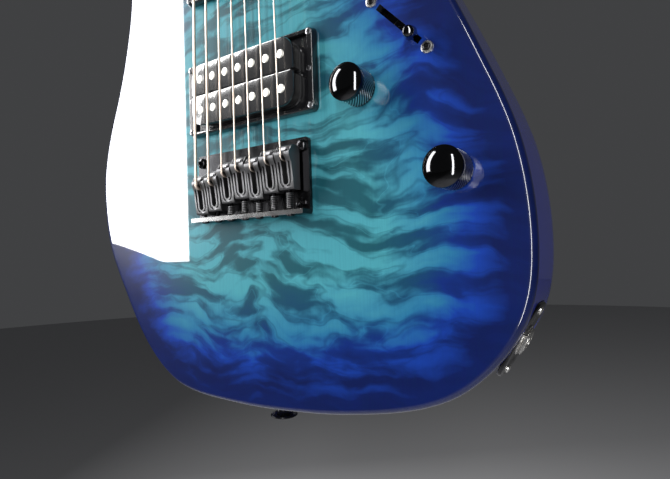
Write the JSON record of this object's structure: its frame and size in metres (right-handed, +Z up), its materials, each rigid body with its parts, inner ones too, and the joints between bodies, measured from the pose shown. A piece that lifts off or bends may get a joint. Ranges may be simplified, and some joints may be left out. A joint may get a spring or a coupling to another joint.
{
  "type": "electric guitar",
  "caption": "Solid-body electric guitar with a quilted burst top, bolt-on neck, fixed string-through bridge with sliding saddles, turning tuners, knobs and selector lever.",
  "frame": {"origin": "where a hanger's yoke carries the head, on the centre line and level with the body's front face", "axes": "+Z up the strings towards the head, -Y out of the front, +X towards the treble side"},
  "size_m": [0.3049, 0.0621, 1.0121],
  "materials": {
    "body_lacquer": "gloss blue lacquer over wood",
    "quilted_maple": "quilted figure stained teal to navy under gloss lacquer",
    "neck_maple": "satin",
    "fretboard_wood": "oiled",
    "nut_graphite": "matte",
    "black_hardware": "black satin plating",
    "string_steel": "wound and plain nickel steel",
    "bare_steel": "satin",
    "black_plastic": "satin",
    "pickup_plastic": "gloss",
    "knob_black": "gloss black, knurled side"
  },
  "bodies": {
    "guitar": {"body": "body_lacquer", "maple_top": "quilted_maple", "neck": "neck_maple", "fretboard": "fretboard_wood", "nut": "nut_graphite", "truss_rod": "bare_steel", "truss_rod_cover": "black_plastic", "string_retainer": "black_hardware", "bridge_plate": "black_hardware", "bridge_pickup_ring": "black_plastic", "neck_pickup_ring": "black_plastic", "volume_pot": "bare_steel", "tone_pot": "bare_steel", "switch_body": "bare_steel", "jack_plate": "black_hardware", "jack_socket": "bare_steel", "cavity_cover": "black_plastic", "neck_plate": "black_hardware", "strap_button_end": "black_hardware", "strap_button_horn": "black_hardware", "tuner_housing_1": "black_hardware", "tuner_housing_2": "black_hardware", "tuner_housing_3": "black_hardware", "tuner_housing_4": "black_hardware", "tuner_housing_5": "black_hardware", "tuner_housing_6": "black_hardware", "tuner_housing_7": "black_hardware", "string_1": "string_steel", "string_2": "string_steel", "string_3": "string_steel", "string_4": "string_steel", "string_5": "string_steel", "string_6": "string_steel", "string_7": "string_steel"},
    "bridge_pickup": {"bridge_pickup": "pickup_plastic"},
    "neck_pickup": {"neck_pickup": "pickup_plastic"},
    "volume_knob": {"volume_knob": "knob_black"},
    "tone_knob": {"tone_knob": "knob_black"},
    "switch_lever": {"switch_lever": "black_plastic"},
    "saddle_1": {"saddle_1": "black_hardware"},
    "tuner_button_1": {"tuner_button_1": "black_hardware"},
    "tuner_post_1": {"tuner_post_1": "black_hardware"},
    "saddle_2": {"saddle_2": "black_hardware"},
    "tuner_button_2": {"tuner_button_2": "black_hardware"},
    "tuner_post_2": {"tuner_post_2": "black_hardware"},
    "saddle_3": {"saddle_3": "black_hardware"},
    "tuner_button_3": {"tuner_button_3": "black_hardware"},
    "tuner_post_3": {"tuner_post_3": "black_hardware"},
    "saddle_4": {"saddle_4": "black_hardware"},
    "tuner_button_4": {"tuner_button_4": "black_hardware"},
    "tuner_post_4": {"tuner_post_4": "black_hardware"},
    "saddle_5": {"saddle_5": "black_hardware"},
    "tuner_button_5": {"tuner_button_5": "black_hardware"},
    "tuner_post_5": {"tuner_post_5": "black_hardware"},
    "saddle_6": {"saddle_6": "black_hardware"},
    "tuner_button_6": {"tuner_button_6": "black_hardware"},
    "tuner_post_6": {"tuner_post_6": "black_hardware"},
    "saddle_7": {"saddle_7": "black_hardware"},
    "tuner_button_7": {"tuner_button_7": "black_hardware"},
    "tuner_post_7": {"tuner_post_7": "black_hardware"}
  },
  "joints": [
    {"name": "bridge_pickup_height", "type": "slide", "parent": "guitar", "child": "bridge_pickup", "axis": [0, -1, 0], "range_m": [-0.003, 0.0015]},
    {"name": "neck_pickup_height", "type": "slide", "parent": "guitar", "child": "neck_pickup", "axis": [0, -1, 0], "range_m": [-0.003, 0.0015]},
    {"name": "volume_knob_turn", "type": "hinge", "parent": "guitar", "child": "volume_knob", "pos_m": [0.0737, 0, -0.6326], "axis": [0, -1, 0], "range_deg": [0, 300]},
    {"name": "tone_knob_turn", "type": "hinge", "parent": "guitar", "child": "tone_knob", "pos_m": [0.1205, 0, -0.679], "axis": [0, -1, 0], "range_deg": [0, 300]},
    {"name": "switch_lever_swing", "type": "hinge", "parent": "guitar", "child": "switch_lever", "pos_m": [0.0958, 0.02, -0.6056], "axis": [-0.7273, 0, -0.6863], "range_deg": [0, 50]},
    {"name": "saddle_1_slide", "type": "slide", "parent": "guitar", "child": "saddle_1", "axis": [0, 0, 1], "range_m": [-0.001, 0.003]},
    {"name": "saddle_2_slide", "type": "slide", "parent": "guitar", "child": "saddle_2", "axis": [0, 0, 1], "range_m": [-0.001, 0.003]},
    {"name": "saddle_3_slide", "type": "slide", "parent": "guitar", "child": "saddle_3", "axis": [0, 0, 1], "range_m": [-0.001, 0.003]},
    {"name": "saddle_4_slide", "type": "slide", "parent": "guitar", "child": "saddle_4", "axis": [0, 0, 1], "range_m": [-0.001, 0.003]},
    {"name": "saddle_5_slide", "type": "slide", "parent": "guitar", "child": "saddle_5", "axis": [0, 0, 1], "range_m": [-0.001, 0.003]},
    {"name": "saddle_6_slide", "type": "slide", "parent": "guitar", "child": "saddle_6", "axis": [0, 0, 1], "range_m": [-0.001, 0.003]},
    {"name": "saddle_7_slide", "type": "slide", "parent": "guitar", "child": "saddle_7", "axis": [0, 0, 1], "range_m": [-0.001, 0.003]},
    {"name": "tuner_button_1_turn", "type": "hinge", "parent": "guitar", "child": "tuner_button_1", "pos_m": [-0.02605, 0.0175, 0.01208], "axis": [-0.9618, 0, 0.2737], "continuous": true},
    {"name": "tuner_post_1_turn", "type": "hinge", "parent": "guitar", "child": "tuner_post_1", "pos_m": [-0.02408, 0, 0.019], "axis": [0, -1, 0], "continuous": true},
    {"name": "tuner_button_2_turn", "type": "hinge", "parent": "guitar", "child": "tuner_button_2", "pos_m": [-0.01906, 0.0175, 0.03608], "axis": [-0.9618, 0, 0.2737], "continuous": true},
    {"name": "tuner_post_2_turn", "type": "hinge", "parent": "guitar", "child": "tuner_post_2", "pos_m": [-0.01709, 0, 0.043], "axis": [0, -1, 0], "continuous": true},
    {"name": "tuner_button_3_turn", "type": "hinge", "parent": "guitar", "child": "tuner_button_3", "pos_m": [-0.01211, 0.0175, 0.06008], "axis": [-0.9618, 0, 0.2737], "continuous": true},
    {"name": "tuner_post_3_turn", "type": "hinge", "parent": "guitar", "child": "tuner_post_3", "pos_m": [-0.01014, 0, 0.067], "axis": [0, -1, 0], "continuous": true},
    {"name": "tuner_button_4_turn", "type": "hinge", "parent": "guitar", "child": "tuner_button_4", "pos_m": [-0.0052, 0.0175, 0.08407], "axis": [-0.9618, 0, 0.2737], "continuous": true},
    {"name": "tuner_post_4_turn", "type": "hinge", "parent": "guitar", "child": "tuner_post_4", "pos_m": [-0.00323, 0, 0.091], "axis": [0, -1, 0], "continuous": true},
    {"name": "tuner_button_5_turn", "type": "hinge", "parent": "guitar", "child": "tuner_button_5", "pos_m": [0.00168, 0.0175, 0.10808], "axis": [-0.9618, 0, 0.2737], "continuous": true},
    {"name": "tuner_post_5_turn", "type": "hinge", "parent": "guitar", "child": "tuner_post_5", "pos_m": [0.00365, 0, 0.115], "axis": [0, -1, 0], "continuous": true},
    {"name": "tuner_button_6_turn", "type": "hinge", "parent": "guitar", "child": "tuner_button_6", "pos_m": [0.00854, 0.0175, 0.13207], "axis": [-0.9618, 0, 0.2737], "continuous": true},
    {"name": "tuner_post_6_turn", "type": "hinge", "parent": "guitar", "child": "tuner_post_6", "pos_m": [0.01051, 0, 0.139], "axis": [0, -1, 0], "continuous": true},
    {"name": "tuner_button_7_turn", "type": "hinge", "parent": "guitar", "child": "tuner_button_7", "pos_m": [0.0154, 0.0175, 0.15607], "axis": [-0.9618, 0, 0.2737], "continuous": true},
    {"name": "tuner_post_7_turn", "type": "hinge", "parent": "guitar", "child": "tuner_post_7", "pos_m": [0.01737, 0, 0.163], "axis": [0, -1, 0], "continuous": true}
  ],
  "couplings": [
    {"joint": "tuner_post_1_turn", "follows": "tuner_button_1_turn", "ratio": 0.066667},
    {"joint": "tuner_post_2_turn", "follows": "tuner_button_2_turn", "ratio": 0.066667},
    {"joint": "tuner_post_3_turn", "follows": "tuner_button_3_turn", "ratio": 0.066667},
    {"joint": "tuner_post_4_turn", "follows": "tuner_button_4_turn", "ratio": 0.066667},
    {"joint": "tuner_post_5_turn", "follows": "tuner_button_5_turn", "ratio": 0.066667},
    {"joint": "tuner_post_6_turn", "follows": "tuner_button_6_turn", "ratio": 0.066667},
    {"joint": "tuner_post_7_turn", "follows": "tuner_button_7_turn", "ratio": 0.066667}
  ]
}
